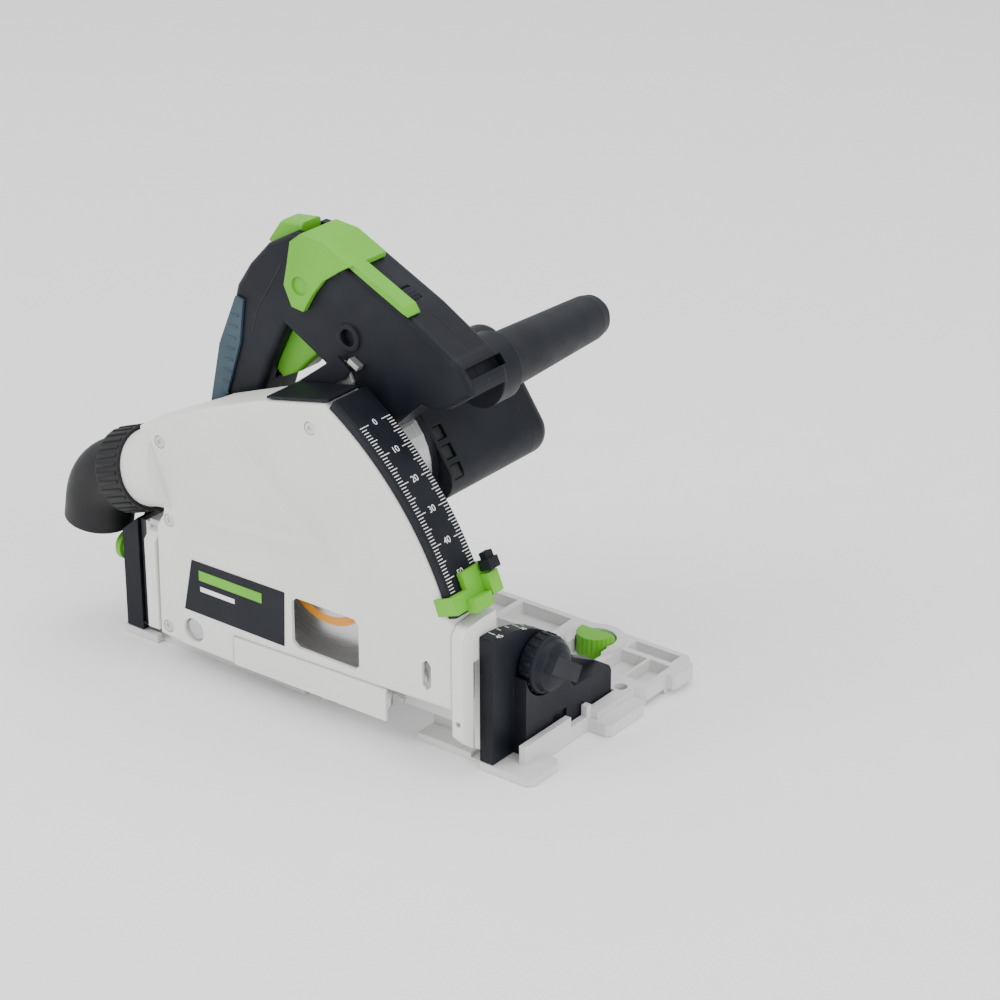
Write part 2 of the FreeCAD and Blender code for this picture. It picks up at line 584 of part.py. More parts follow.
case.cut("xz", 10, 46, Circle(*PIVOT, 5.03))

lid = Node("gear_cover")
lid.pad("xz", LID_Y, "motor_near", hull(ARBOR, 24.5, MOTOR, 38))
lid.pad("xz", 37.6, LID_Y, Circle(*ARBOR, 12))
lid.pad("xz", 37.6, LID_Y, Circle(*MOTOR, 14))
lid.cut("xz", 37, 43.6, Circle(*ARBOR, 9.52))
lid.cut("xz", 37, 46, Circle(*MOTOR, 10.02))
lid.cut("xz", 40, 43.4, Circle(*IDLER, 4.05))

motor = Node("motor_housing")
motor.pad("xz", "motor_near", 50, Circle(*MOTOR, "motor_rad"))
SQUARE = Rounded([skew(38, 38), skew(-38, 38), skew(-38, -38), skew(38, -38)], 14)
motor.pad("xz", 49.6, "motor_far", SQUARE)
for v in (-31, -20, -9):
    motor.cut("xz", 52, 60, [skew(35.5, v), skew(40, v), skew(40, v + 8), skew(35.5, v + 8)])
motor.cut("xz", 48, 130, Circle(*MOTOR, 34))
motor.cut("xz", 40, 60, Circle(*MOTOR, 12))

cap = Node("motor_end_cap")
cap.pad("xz", "motor_far", "cap_far", SQUARE)
cap.dress("Fillet", 9, flat_edges(val("cap_far")))
cap.cut("xz", 118, 133, Circle(*MOTOR, 34.5))
cap.pad("xz", 125, 135, Circle(*MOTOR, 12))
cap.cut("xz", 118, 132, Circle(*MOTOR, 8.02))

# handle: two shells meeting on the mid plane
HY, HALF = val("handle_y"), val("handle_half")
HORN = (70, 195)
BODY_OUT = ([(55.3, 179.1), (58.6, 174.4)] + arc_points(HORN, 19, 3, 72, 8)
            + [(48, 229.5), (-4, 254.5), (-28, 256.5), (-45, 247), (-58, 233), (-67, 219.6), (-77, 184.4),
               (-85.8, 144.4), (-90, 114), (-82, 101), (-64, 96), (-40, 102)]
            + arc_points(MOTOR, 38.4, 208, 45, 26))
GRIP_GAP = [(-33, 204), (-8, 190), (-12, 178), (-24, 168), (-36, 156), (-42, 140), (-44, 126), (-50, 116),
            (-58, 114), (-62, 124), (-56, 150), (-45, 180)]
HOLLOW = [(-44, 241), (-29, 252.8), (-6, 251), (46, 226.5), (54, 213), (54, 191), (-2, 194), (-33, 208.5),
          (-38, 204), (-48, 180), (-59, 150), (-65, 124), (-62, 113), (-64, 101), (-79, 105), (-86, 115),
          (-82, 144), (-73, 184), (-63, 217)]
GRIP_SIDE = [(-66, 214), (-78.6, 184.4), (-87.4, 144.4), (-90.8, 116), (-84, 116), (-78, 146), (-64, 188),
             (-60.5, 213)]
GRIP_BACK = [(-66, 214), (-78.6, 184.4), (-87.4, 144.4), (-90.8, 116), (-88.6, 116), (-85.2, 144.4),
             (-76.4, 184.4), (-64.6, 213.4)]
TRIGGER_SLOT = [(-42, 212.5), (-31, 211.5), (-25, 203), (-38, 168), (-56, 170)]
NOSE_RELIEF = [(34, 150), (80, 150), (80, 187), (68, 184), (57, 184.5), (34, 162.6)]
BUTTON_SLOT = [(-56, 240), (-44, 260), (-18, 262), (-20, 246), (-44, 236)]
WHEEL = (33.6, 226.7)
KEY_RING = (10, 209)
INLET = ((-68, 120), 262)
SIDES = {"handle_left_shell": (HY - HALF, HY), "handle_right_shell": (HY, HY + HALF)}
for name, (y0, y1) in SIDES.items():
    shell = Node(name)
    shell.pad("xz", y0, y1, BODY_OUT)
    shell.cut("xz", y0 - 1, y1 + 1, GRIP_GAP)
    outer = y0 if y1 == HY else y1
    shell.dress("Fillet", 4, lambda b, e: flat_edges(outer)(b, e)
                and math.dist((e.CenterOfMass.x, e.CenterOfMass.z), MOTOR) > 44)
    hollow = (y0 + 2.6, y1 + 1) if y1 == HY else (y0 - 1, y1 - 2.6)
    shell.cut("xz", *hollow, HOLLOW)
    shell.cut("xz", y0 - 1, y1 + 1, NOSE_RELIEF)
    shell.cut("xz", 25.2, 40.8, TRIGGER_SLOT)
    shell.cut("xz", 25.2, 40.8, BUTTON_SLOT)
    if outer == y0:
        shell.pad("xz", 15.8, 18, Circle(*KEY_RING, 7.6))
        shell.cut("xz", 15, 19.4, Circle(*KEY_RING, 4.6))
    else:
        shell.pad("xz", 45, 60, Circle(*HORN, 18.4))
    shell.cut("xz", 20, 61, Circle(*HORN, 9.05))
    shell.bore_xz(HY, *INLET, [(3, 0), (3, 7.05), (30, 7.05), (30, 0)])
    shell.cut("xz", 28.4, 37.6, Circle(*WHEEL, 10))
    shell.cut("xz", y0 - 1, y1 + 1, GRIP_BACK)
    shell.cut("xz", *((outer - 1, outer + 1.2) if outer == y0 else (outer - 1.2, outer + 1)), GRIP_SIDE)
    shell.cut("xz", 20, 49, [polar(HORN, 13, 24), polar(HORN, 24, 31), polar(HORN, 24, 45), polar(HORN, 13, 52)])

grip = Node("grip_pad")
grip.pad("xz", HY - HALF - 1.6, HY - HALF + 1.2, GRIP_SIDE)
grip.pad("xz", HY - HALF + 1.2, HY + HALF - 1.2, GRIP_BACK)
grip.pad("xz", HY + HALF - 1.2, HY + HALF + 1.6, GRIP_SIDE)

horn = Node("auxiliary_handle")
horn.turn_y(*HORN, [(22, 0), (22, 9), (60.3, 9), (60.3, 15.6), (61.5, 16), (64, 15.4), (140, 12.6),
                    (146, 11.4), (150, 8.4), (152, 4), (152.4, 0)])

trigger = Node("trigger")
trigger.pad("xz", 25.7, 40.3, [(-45, 213), (-36, 211), (-30, 200), (-17, 194), (-18, 190), (-31, 177),
                               (-43, 171), (-51, 177), (-50, 190)])
trigger.dress("Fillet", 2.5, lambda b, e: abs(b.YMin - 25.7) < 0.01 and b.YLength < 0.01 and b.XMax > -30)
trigger.pad("xz", 20.4, 45.6, Circle(-41, 208.5, 1.5))

lock_button = Node("lock_off_button")
lock_button.pad("xz", 25.7, 40.3, [(-50, 246), (-41, 258.5), (-27, 260), (-27, 246), (-42, 240)])
lock_button.dress("Fillet", 2, lambda b, e: b.ZMin > 247 and b.YLength < 0.01)

lever = Node("blade_change_lever")
lever.pad("xz", 13.4, 16.7, [(-3.4, 258.2), (-18, 259.6), (-25, 254), (-27.5, 241), (-30, 229.4), (-25, 218.6),
                             (-17.2, 217.5), (-11, 228), (-3.8, 237.1), (8, 245.4), (15, 249.4)])
lever.pad("xz", 16, 42, [(-18, 259.6), (-3.4, 258.2), (15, 249.4), (14.4, 246.6), (-4, 255.1), (-18, 256.3)])
lever.pad("xz", 16, 26, [(14, 249.9), (47, 234.4), (50, 229.8), (46, 231.2), (14, 246.6)])
lever.cut("xz", 12, 14.6, Circle(-19.5, 231, 5))

dial = Node("speed_dial")
dial.pad("xz", 28.9, 37.1, Circle(*WHEEL, 9.6))
dial.cut("xz", 28, 38, *[Circle(*polar(WHEEL, 10.2, a), 0.9) for a in range(0, 360, 15)])

link = Node("lock_lever")
link.pad("xz", 12.6, 14.4, [(-2, 193), (6, 199), (14, 193), (10, 187), (-27, 166), (-33, 164), (-32, 170)])
link.pad("xz", 14.2, 16.6, Circle(6, 192, 2.5))

lug = Node("stop_lug")
lug.pad("xz", 12.6, 16.9, sector(PIVOT, 193.6, 196.4, 60.15, 62.2, 2))

stator = Node("stator")
stator.pad("xz", 57, 101, Circle(*MOTOR, 33.97), Circle(*MOTOR, 22.8))
group("rotor_bearings", [ring("bearing_front", (MOTOR[0], 38, MOTOR[1]), "y", 10, 4.03, 6),
                         ring("bearing_rear", (MOTOR[0], 126, MOTOR[1]), "y", 8, 4.03, 6)])
group("arbor_bearings", [ring("bearing_near", (ARBOR[0], 5, ARBOR[1]), "y", 13, 6.03, 7.5),
                         ring("bearing_far", (ARBOR[0], 38, ARBOR[1]), "y", 9.5, 4.53, 5.5)])
group("carbon_brushes", [cylinder("brush_a", (MOTOR[0] + 12.4, 112, MOTOR[1]), "x", 3, 21.4),
                         cylinder("brush_b", (MOTOR[0] - 33.8, 112, MOTOR[1]), "x", 3, 21.4)])

switch = Node("switch_module")
switch.pad("xz", 24, 42, [(-64, 205), (-54, 205), (-54, 184), (-63, 160), (-75, 164), (-69, 186)])
board = Node("control_electronics")
board.pad("xz", 22, 44, [(-18, 240), (8, 228), (4, 206), (-22, 220)])
inlet = Node("cord_inlet")
inlet.turn_xz(HY, *INLET, [(6, 0), (6, 7), (24, 7), (24, 11), (38, 11), (38, 8), (28, 8), (28, 0)])

knife = Node("riving_knife")
knife.pad("xz", -1.9, -0.2, sector(ARBOR, 82.5, 95, 188, 222, 14))
knife.pad("xz", -1.9, 6, sector(ARBOR, 84, 94, 188, 196, 5))
knife.pad("xz", 5.4, 8, [polar(ARBOR, 94, 188), polar(ARBOR, 94, 196), polar(ARBOR, 22, 206),
                         polar(ARBOR, 22, 178)])
knife.pad("xz", 5.4, 8, Circle(*ARBOR, 23))
knife.cut("xz", 5, 9, Circle(*ARBOR, 19.06))

# ---------------------------------------------------------------- drive train
toward_motor = math.degrees(math.atan2(MOTOR[1] - IDLER[1], MOTOR[0] - IDLER[0]))
toward_arbor = math.degrees(math.atan2(ARBOR[1] - IDLER[1], ARBOR[0] - IDLER[0]))
shaft = Node("rotor_shaft")
shaft.pad("xz", 29, 36, gear_outline(MOTOR, PINION, MODULE, toward_motor + 180 + 180 / PINION))
shaft.pad("xz", 27, 131.6, Circle(*MOTOR, 4))
armature = Node("armature")
armature.pad("xz", 56, 100, Circle(*MOTOR, 22), Circle(*MOTOR, 4))
commutator = Node("commutator")
commutator.pad("xz", 104, 120, Circle(*MOTOR, 12), Circle(*MOTOR, 4))
fan = Node("cooling_fan")
fan.pad("xz", 49, 50.6, Circle(*MOTOR, 29), Circle(*MOTOR, 4))
fan.pad("xz", 50.4, 54, Circle(*MOTOR, 8), Circle(*MOTOR, 4))
for a in range(0, 360, 30):
    p0, p1 = polar(MOTOR, 10, a), polar(MOTOR, 28.5, a)
    side = (math.cos(math.radians(a + 90)), math.sin(math.radians(a + 90)))
    fan.pad("xz", 50.4, 54, [p0, p1, (p1[0] + 1.2 * side[0], p1[1] + 1.2 * side[1]),
                             (p0[0] + 1.2 * side[0], p0[1] + 1.2 * side[1])])

idler = Node("idler_gear")
idler.pad("xz", 29, 35, gear_outline(IDLER, IDLE_BIG, MODULE, toward_motor))
idler.pad("xz", 18, 29, gear_outline(IDLER, IDLE_SMALL, MODULE, toward_arbor))
idler.pad("xz", 13.4, 43.2, Circle(*IDLER, 4))

arbor = Node("arbor")
arbor.turn_y(*ARBOR, [(-7.8, 0), (-7.8, 4), (-6.2, 4), (-6.2, 10), (-0.1, 10), (-0.1, 20), (2.6, 20),
                      (2.6, 7.6), (5, 7.6), (5, 6), (27, 6), (27, 4.5), (43.4, 4.5), (43.4, 0)])
out_gear = Node("output_gear")
out_gear.pad("xz", 18, 26, gear_outline(ARBOR, OUT_TEETH, MODULE, toward_arbor + 180 + 180 / OUT_TEETH),
             Circle(*ARBOR, 6))
flange = Node("outer_flange")
flange.turn_y(*ARBOR, [(-1.9, 10), (-1.9, 20), (-4, 20), (-6.2, 16), (-6.2, 10)])
bolt = Node("blade_bolt")
bolt.turn_y(*ARBOR, [(-6.2, 4), (-6.2, 14), (-8, 14), (-8, 9), (-10.8, 9), (-10.8, 4)])
bolt.cut("xz", -13, -8, [polar(ARBOR, 4.6, a) for a in range(0, 360, 60)])

TEETH = 42
blade = Node("saw_blade")
outline = []
for i in range(TEETH):
    a = i * 360 / TEETH
    for below, f in ((0, 0), (1.4, 2.2), (5.4, 4.4), (7, 6.6), (5.8, 7.9)):
        outline.append(polar(ARBOR, val("blade_rad") - below, a + f))
blade.pad("xz", -1.9, -0.1, outline, Circle(*ARBOR, "blade_bore"))
blade.cut("xz", -3, 1, *[[polar(ARBOR, 81, a + 3), polar(ARBOR, 68, a - 2), polar(ARBOR, 68, a - 2.5),
                          polar(ARBOR, 81, a + 2.4)] for a in (21.4, 141.4, 261.4)])

# ---------------------------------------------------------------- checks and export
doc.recompute()
os.makedirs("parts", exist_ok=True)
bad = [o.Name for o in doc.Objects if {"Invalid", "Error"} & set(o.State)]
if bad:
    raise RuntimeError(f"objects failed to compute: {bad}")
WANTED = [o for o in doc.Objects if o.isDerivedFrom("PartDesign::Body")]
WANTED += [o for o in doc.Objects if o.Name in ("segment_screws", "cover_screws", "dust_elbow",
                                                "rotor_bearings", "arbor_bearings", "carbon_brushes")]
for node in WANTED:
    shape = node.Shape
    if shape.isNull() or not shape.isValid():
        raise RuntimeError(f"bad shape: {node.Label}")
    shape.exportStep(f"parts/{node.Label}.step")
print(len(WANTED), "nodes exported")
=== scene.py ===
"""Looks of the track plunge saw: materials, printed scales, grip ribs, light and camera.

Lengths in the code are metres in the saw's own frame: +X is the cutting direction,
+Y the motor side, +Z up, with the origin on the sole at the cut line.
"""
import math
import json
import bpy
import bmesh
from mathutils import Matrix, Vector


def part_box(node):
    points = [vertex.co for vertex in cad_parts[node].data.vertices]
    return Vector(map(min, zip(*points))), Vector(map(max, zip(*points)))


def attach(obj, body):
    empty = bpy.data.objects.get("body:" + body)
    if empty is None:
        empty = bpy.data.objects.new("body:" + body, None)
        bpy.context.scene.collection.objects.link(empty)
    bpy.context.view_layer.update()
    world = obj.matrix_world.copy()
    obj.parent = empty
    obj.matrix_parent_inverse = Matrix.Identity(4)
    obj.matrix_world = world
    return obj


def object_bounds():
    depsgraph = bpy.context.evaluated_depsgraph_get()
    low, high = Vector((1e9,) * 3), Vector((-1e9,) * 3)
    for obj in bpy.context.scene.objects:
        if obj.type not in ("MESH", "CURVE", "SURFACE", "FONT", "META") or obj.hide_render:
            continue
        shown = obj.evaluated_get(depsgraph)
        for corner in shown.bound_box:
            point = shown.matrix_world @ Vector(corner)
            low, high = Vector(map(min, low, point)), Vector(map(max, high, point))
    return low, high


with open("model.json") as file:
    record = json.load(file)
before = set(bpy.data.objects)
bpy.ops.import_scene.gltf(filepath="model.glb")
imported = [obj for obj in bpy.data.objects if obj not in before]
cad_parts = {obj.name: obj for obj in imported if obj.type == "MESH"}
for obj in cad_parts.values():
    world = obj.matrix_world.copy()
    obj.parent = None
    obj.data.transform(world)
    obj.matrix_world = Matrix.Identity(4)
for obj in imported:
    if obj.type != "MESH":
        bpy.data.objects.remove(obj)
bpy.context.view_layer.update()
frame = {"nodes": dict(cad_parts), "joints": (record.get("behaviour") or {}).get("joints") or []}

NAVY = (0.0045, 0.0060, 0.0110, 1)
GREEN = (0.125, 0.440, 0.018, 1)
CREAM = (0.780, 0.775, 0.750, 1)
INK = (0.88, 0.88, 0.86, 1)


# ---------------------------------------------------------------- places read from the frame
def joint(name):
    return next(j for j in frame["joints"] if j["name"] == name)


PIVOT = Vector(joint("plunge")["pos_m"])
ARBOR = Vector(joint("arbor_spin")["pos_m"])
MOTOR = Vector(joint("rotor_spin")["pos_m"])
PLUNGE = math.radians(joint("plunge")["range_deg"][1])
DROP = Vector(joint("elbow_swivel")["axis"])


# ---------------------------------------------------------------- materials
class Shader:
    """Small helper for wiring a Principled material."""

    def __init__(self, name):
        self.mat = bpy.data.materials.new(name)
        self.mat.use_nodes = True
        self.tree = self.mat.node_tree
        self.bsdf = self.tree.nodes["Principled BSDF"]
        self.where = self.add("ShaderNodeTexCoord").outputs["Object"]

    def add(self, kind, **settings):
        node = self.tree.nodes.new(kind)
        for key, value in settings.items():
            setattr(node, key, value)
        return node

    def put(self, socket, value):
        if isinstance(value, bpy.types.NodeSocket):
            self.tree.links.new(value, socket)
        else:
            socket.default_value = value

    def noise(self, scale, detail=3.0, vector=None):
        n = self.add("ShaderNodeTexNoise")
        self.put(n.inputs["Vector"], vector or self.where)
        n.inputs["Scale"].default_value = scale
        n.inputs["Detail"].default_value = detail
        return n.outputs["Fac"]

    def math(self, operation, a, b=0.0):
        n = self.add("ShaderNodeMath", operation=operation)
        self.put(n.inputs[0], a)
        self.put(n.inputs[1], b)
        return n.outputs[0]

    def span(self, value, low, high, to_low=0.0, to_high=1.0):
        n = self.add("ShaderNodeMapRange")
        self.put(n.inputs["Value"], value)
        ends = {"From Min": low, "From Max": high, "To Min": to_low, "To Max": to_high}
        for key, number in ends.items():
            n.inputs[key].default_value = number
        return n.outputs["Result"]

    def mix(self, factor, a, b):
        n = self.add("ShaderNodeMix", data_type="RGBA")
        self.put(n.inputs["Factor"], factor)
        self.put(n.inputs[6], a)
        self.put(n.inputs[7], b)
        return n.outputs[2]

    def edges(self, radius):
        """Rounded normal and a mask that is 1 along sharp edges."""
        soft = self.add("ShaderNodeBevel", samples=4)
        soft.inputs["Radius"].default_value = radius
        flat = self.add("ShaderNodeNewGeometry").outputs["Normal"]
        dot = self.add("ShaderNodeVectorMath", operation="DOT_PRODUCT")
        self.put(dot.inputs[0], soft.outputs[0])
        self.put(dot.inputs[1], flat)
        return soft.outputs[0], self.span(dot.outputs["Value"], 0.99, 0.80)

    def bump(self, height, strength, distance, normal=None):
        n = self.add("ShaderNodeBump")
        self.put(n.inputs["Height"], height)
        n.inputs["Strength"].default_value = strength
        n.inputs["Distance"].default_value = distance
        if normal is not None:
            self.put(n.inputs["Normal"], normal)
        return n.outputs["Normal"]

    def polar(self, centre):
        """Distance from an axis along Y through a point, and the angle about it."""
        shift = self.add("ShaderNodeVectorMath", operation="SUBTRACT")
        self.put(shift.inputs[0], self.where)
        shift.inputs[1].default_value = centre
        xyz = self.add("ShaderNodeSeparateXYZ")
        self.put(xyz.inputs[0], shift.outputs[0])
        x, z = xyz.outputs["X"], xyz.outputs["Z"]
        squares = self.math("ADD", self.math("MULTIPLY", x, x), self.math("MULTIPLY", z, z))
        return self.math("SQRT", squares), self.math("ARCTAN2", z, x)


def moulded(name, colour, rough, grain=2600, depth=0.25, mottle=0.12, worn=0.35, metal=0.0,
            round_edge=0.0006, gloss=0.5):
    """Grained plastic, paint or casting: mottled colour, pale worn edges, fine bump."""
    s = Shader(name)
    normal, edge = s.edges(round_edge)
    dark = [c * (1 - mottle) for c in colour[:3]] + [1]
    light = [min(1, c * (1 + mottle) + 0.004) for c in colour[:3]] + [1]
    rubbed = [min(1, c * 1.5 + 0.006) for c in colour[:3]] + [1]
    body = s.mix(s.span(s.noise(34, 6), 0.35, 0.65), dark, light)
    wear = s.math("MULTIPLY", edge, s.span(s.noise(160, 4), 0.42, 0.62, 0.0, worn))
    s.put(s.bsdf.inputs["Base Color"], s.mix(wear, body, rubbed))
    s.put(s.bsdf.inputs["Roughness"], s.span(s.noise(70, 4), 0.3, 0.7, rough - 0.06, rough + 0.07))
    s.put(s.bsdf.inputs["Normal"], s.bump(s.noise(grain, 2), depth, 0.0001, normal))
    s.bsdf.inputs["Metallic"].default_value = metal
    s.bsdf.inputs["Specular IOR Level"].default_value = gloss
    return s.mat


def ground(name, colour, rough, stretch, worn=0.5):
    """Ground or drawn metal with fine lines running along one axis."""
    s = Shader(name)
    normal, edge = s.edges(0.0004)
    lines = s.add("ShaderNodeMapping")
    s.put(lines.inputs["Vector"], s.where)
    lines.inputs["Scale"].default_value = stretch
    scratches = s.noise(900, 3, lines.outputs[0])
    pale = [min(1, c * 1.2) for c in colour[:3]] + [1]
    deep = [c * 0.78 for c in colour[:3]] + [1]
    body = s.mix(scratches, deep, pale)
    s.put(s.bsdf.inputs["Base Color"], s.mix(s.math("MULTIPLY", edge, worn), body, pale))
    s.put(s.bsdf.inputs["Roughness"], s.span(scratches, 0.3, 0.7, rough - 0.08, rough + 0.1))
    s.put(s.bsdf.inputs["Normal"], s.bump(scratches, 0.18, 0.0001, normal))
    s.bsdf.inputs["Metallic"].default_value = 1.0
    return s.mat


def blade_steel():
    """Circular ground steel with an orange ring segment printed near the bore."""
    ring_inside, ring_outside, ring_gap = 0.0265, 0.0315, 0.9
    s = Shader("blade_ground_steel")
    radius, angle = s.polar(ARBOR)
    rings = s.add("ShaderNodeTexNoise", noise_dimensions="1D")
    s.put(rings.inputs["W"], s.math("MULTIPLY", radius, 2400))
    rings.inputs["Scale"].default_value = 1.0
    steel = s.mix(rings.outputs["Fac"], (0.42, 0.42, 0.43, 1), (0.72, 0.72, 0.72, 1))
    band = s.math("MULTIPLY", s.math("GREATER_THAN", radius, ring_inside),
                  s.math("LESS_THAN", radius, ring_outside))
    arc = s.math("MULTIPLY", band, s.math("GREATER_THAN", s.math("ABSOLUTE", angle), ring_gap))
    s.put(s.bsdf.inputs["Base Color"], s.mix(arc, steel, (0.85, 0.33, 0.02, 1)))
    s.put(s.bsdf.inputs["Metallic"], s.math("SUBTRACT", 1.0, arc))
    s.put(s.bsdf.inputs["Roughness"], s.span(rings.outputs["Fac"], 0.3, 0.7, 0.22, 0.38))
    s.put(s.bsdf.inputs["Normal"], s.bump(rings.outputs["Fac"], 0.2, 0.0001))
    return s.mat


def winding():
    """Varnished copper wire: fine bands across the coil."""
    s = Shader("varnished_winding")
    wave = s.add("ShaderNodeTexWave", bands_direction="Y")
    s.put(wave.inputs["Vector"], s.where)
    wave.inputs["Scale"].default_value = 300
    wave.inputs["Distortion"].default_value = 1.5
    deep, bright = (0.20, 0.07, 0.03, 1), (0.62, 0.28, 0.12, 1)
    s.put(s.bsdf.inputs["Base Color"], s.mix(wave.outputs["Fac"], deep, bright))
    s.put(s.bsdf.inputs["Normal"], s.bump(wave.outputs["Fac"], 0.5, 0.0003))
    s.put(s.bsdf.inputs["Roughness"], s.span(s.noise(90), 0.3, 0.7, 0.22, 0.4))
    s.bsdf.inputs["Metallic"].default_value = 0.7
    return s.mat


NYLON = moulded("navy_nylon", NAVY, 0.50, grain=3200, depth=0.30, mottle=0.16, gloss=0.22)
NYLON_SOFT = moulded("navy_nylon_round", NAVY, 0.47, grain=3200, depth=0.28, mottle=0.14,
                     round_edge=0.0014, gloss=0.22)
GREEN_NYLON = moulded("green_nylon", GREEN, 0.42, grain=3600, depth=0.16, mottle=0.06,
                      round_edge=0.0009, gloss=0.35)
PAINT = moulded("warm_grey_paint", CREAM, 0.44, grain=1900, depth=0.14, mottle=0.015, worn=0.25)
PLATE_PAINT = moulded("plate_grey_paint", (0.66, 0.66, 0.65, 1), 0.46, grain=1500, depth=0.30,
                      mottle=0.03, worn=0.3)
SLATE = moulded("slate_rubber", (0.028, 0.058, 0.080, 1), 0.62, grain=2100, depth=0.5,
                mottle=0.10, worn=0.15)
BLACK_RUBBER = moulded("grip_rubber_black", (0.0075, 0.0090, 0.0130, 1), 0.55, grain=1800,
                       depth=0.45, mottle=0.2, worn=0.15, round_edge=0.001, gloss=0.25)
PORT_GREY = moulded("port_dark_grey", (0.0085, 0.0085, 0.0095, 1), 0.50, grain=2400, depth=0.3,
                    mottle=0.2, round_edge=0.0009, gloss=0.25)
DIE_CAST = moulded("die_cast_alloy", (0.60, 0.60, 0.60, 1), 0.40, grain=1300, depth=0.5,
                   mottle=0.10, metal=0.85)
BLACK_OXIDE = moulded("black_oxide", (0.03, 0.03, 0.032, 1), 0.36, depth=0.15, mottle=0.2, metal=0.7)
BRIGHT = moulded("zinc_plated", (0.62, 0.62, 0.61, 1), 0.28, depth=0.1, mottle=0.08, metal=1.0)
BOARD = moulded("potting_green", (0.02, 0.10, 0.05, 1), 0.3, grain=700, depth=0.4, mottle=0.4)
CARBON = moulded("pressed_carbon", (0.02, 0.02, 0.02, 1), 0.6, depth=0.5, mottle=0.4)
STEEL = ground("ground_steel", (0.55, 0.56, 0.57, 1), 0.30, (1, 0.04, 1))
SPRING_STEEL = ground("spring_steel", (0.34, 0.34, 0.35, 1), 0.32, (1, 1, 0.2))
BLADE = blade_steel()
COPPER = winding()
WHITE_INK = moulded("white_ink", INK, 0.55, grain=1800, depth=0.1, mottle=0.04, worn=0.1,
                    round_edge=0.0001)
# Near-black material: painted shade on the end cap vent slots and motor vent floors; also the dark line
# of the handle seam.
SHADOW = moulded("deep_recess", (0.010, 0.011, 0.013, 1), 0.7, grain=1800, depth=0.1, mottle=0.2,
                 worn=0.0)
FLOOR = moulded("studio_floor", (0.955, 0.955, 0.95, 1), 0.7, grain=300, depth=0.02, mottle=0.004,
                worn=0.0)


def two_tone(name, pale, dark, split):
    """Painted casting whose part behind a given X is dark moulded plastic."""
    s = Shader(name)
    normal, edge = s.edges(0.0006)
    xyz = s.add("ShaderNodeSeparateXYZ")
    s.put(xyz.inputs[0], s.where)
    behind = s.math("LESS_THAN", xyz.outputs["X"], split)
    body = s.mix(behind, pale, dark)
    cloud = s.span(s.noise(34, 6), 0.35, 0.65, 0.0, 0.06)
    s.put(s.bsdf.inputs["Base Color"], s.mix(cloud, body, (0.2, 0.2, 0.2, 1)))
    s.put(s.bsdf.inputs["Roughness"], s.span(s.noise(70, 4), 0.3, 0.7, 0.40, 0.52))
    s.put(s.bsdf.inputs["Normal"], s.bump(s.noise(2200, 2), 0.16, 0.0001, normal))
    return s.mat


BRACKET_SPLIT_X = -0.1242
BRACKET_TONES = two_tone("rear_bracket_two_tone", CREAM, NAVY, BRACKET_SPLIT_X)

NODE_LOOK = {
    PLATE_PAINT: ("base_plate",),
    PAINT: ("guard_cover", "guard_housing", "front_bracket", "tongue_panel"),
    BRACKET_TONES: ("rear_bracket",),
    GREEN_NYLON: ("glide_strips", "front_jaw_adjuster", "rear_jaw_adjuster", "undercut_button", "trigger",
                  "lock_off_button", "blade_change_lever", "depth_stop"),
    NYLON: ("front_segment", "rear_segment", "depth_scale_strip", "name_plate", "front_knob",
            "rear_knob", "depth_stop_button", "lock_lever", "cooling_fan", "cord_inlet", "speed_dial"),
    NYLON_SOFT: ("motor_housing", "motor_end_cap", "handle_left_shell", "handle_right_shell"),
    SLATE: ("grip_pad",),
    BLACK_RUBBER: ("auxiliary_handle",),
    PORT_GREY: ("dust_collar", "dust_elbow", "switch_module"),
    DIE_CAST: ("gear_case", "gear_cover", "stop_lug"),
    BLACK_OXIDE: ("segment_screws", "blade_bolt"),
    BRIGHT: ("cover_screws", "front_clamp_bolt", "rear_clamp_bolt", "riving_knife"),
    STEEL: ("pivot_pin", "rotor_bearings", "arbor_bearings", "rotor_shaft", "idler_gear", "arbor",
            "output_gear", "outer_flange"),
    SPRING_STEEL: ("return_spring",),
    BLADE: ("saw_blade",),
    COPPER: ("stator", "armature", "commutator"),
    BOARD: ("control_electronics",),
    CARBON: ("carbon_brushes",),
}
for material, names in NODE_LOOK.items():
    for name in names:
        mesh = frame["nodes"][name].data
        mesh.materials.clear()
        mesh.materials.append(material)


# ---------------------------------------------------------------- mesh helpers
def piece(name, bm, material, body, smooth=False):
    """Turn a bmesh into a named piece that rides on a body."""
    bmesh.ops.recalc_face_normals(bm, faces=bm.faces)
    mesh = bpy.data.meshes.new(name)
    bm.to_mesh(mesh)
    bm.free()
    for face in mesh.polygons:
        face.use_smooth = smooth
    mesh.materials.append(material)
    obj = bpy.data.objects.new(name, mesh)
    bpy.context.scene.collection.objects.link(obj)
    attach(obj, body)
    return obj


def block(bm, size, place, bevel=0.0):
    """Box of a size with its edges bevelled, put at a 4x4 placement."""
    part = bmesh.new()
    bmesh.ops.create_cube(part, size=1.0)
    bmesh.ops.scale(part, vec=Vector(size), verts=part.verts)
    if bevel:
        bmesh.ops.bevel(part, geom=part.edges[:], offset=bevel, segments=2, profile=0.5, affect="EDGES")
    bmesh.ops.transform(part, matrix=place, verts=part.verts)
    temp = bpy.data.meshes.new("temp")
    part.to_mesh(temp)
    part.free()
    bm.from_mesh(temp)
    bpy.data.meshes.remove(temp)


def axes_at(origin, x, y, z):
    """Placement whose local axes are three given directions."""
    rows = [Vector(axis).normalized() for axis in (x, y, z)]
    m = Matrix(rows).transposed().to_4x4()
    m.translation = Vector(origin)
    return m


def around(centre, radius, degrees, y):
    """Placement on a circle about an axis along Y: local X upward along the arc, Y across, Z outward."""
    a = math.radians(degrees)
    out = Vector((math.cos(a), 0, math.sin(a)))
    up = Vector((-math.sin(a), 0, math.cos(a)))
    return axes_at(Vector((centre.x, y, centre.z)) + out * radius, up, out.cross(up), out)


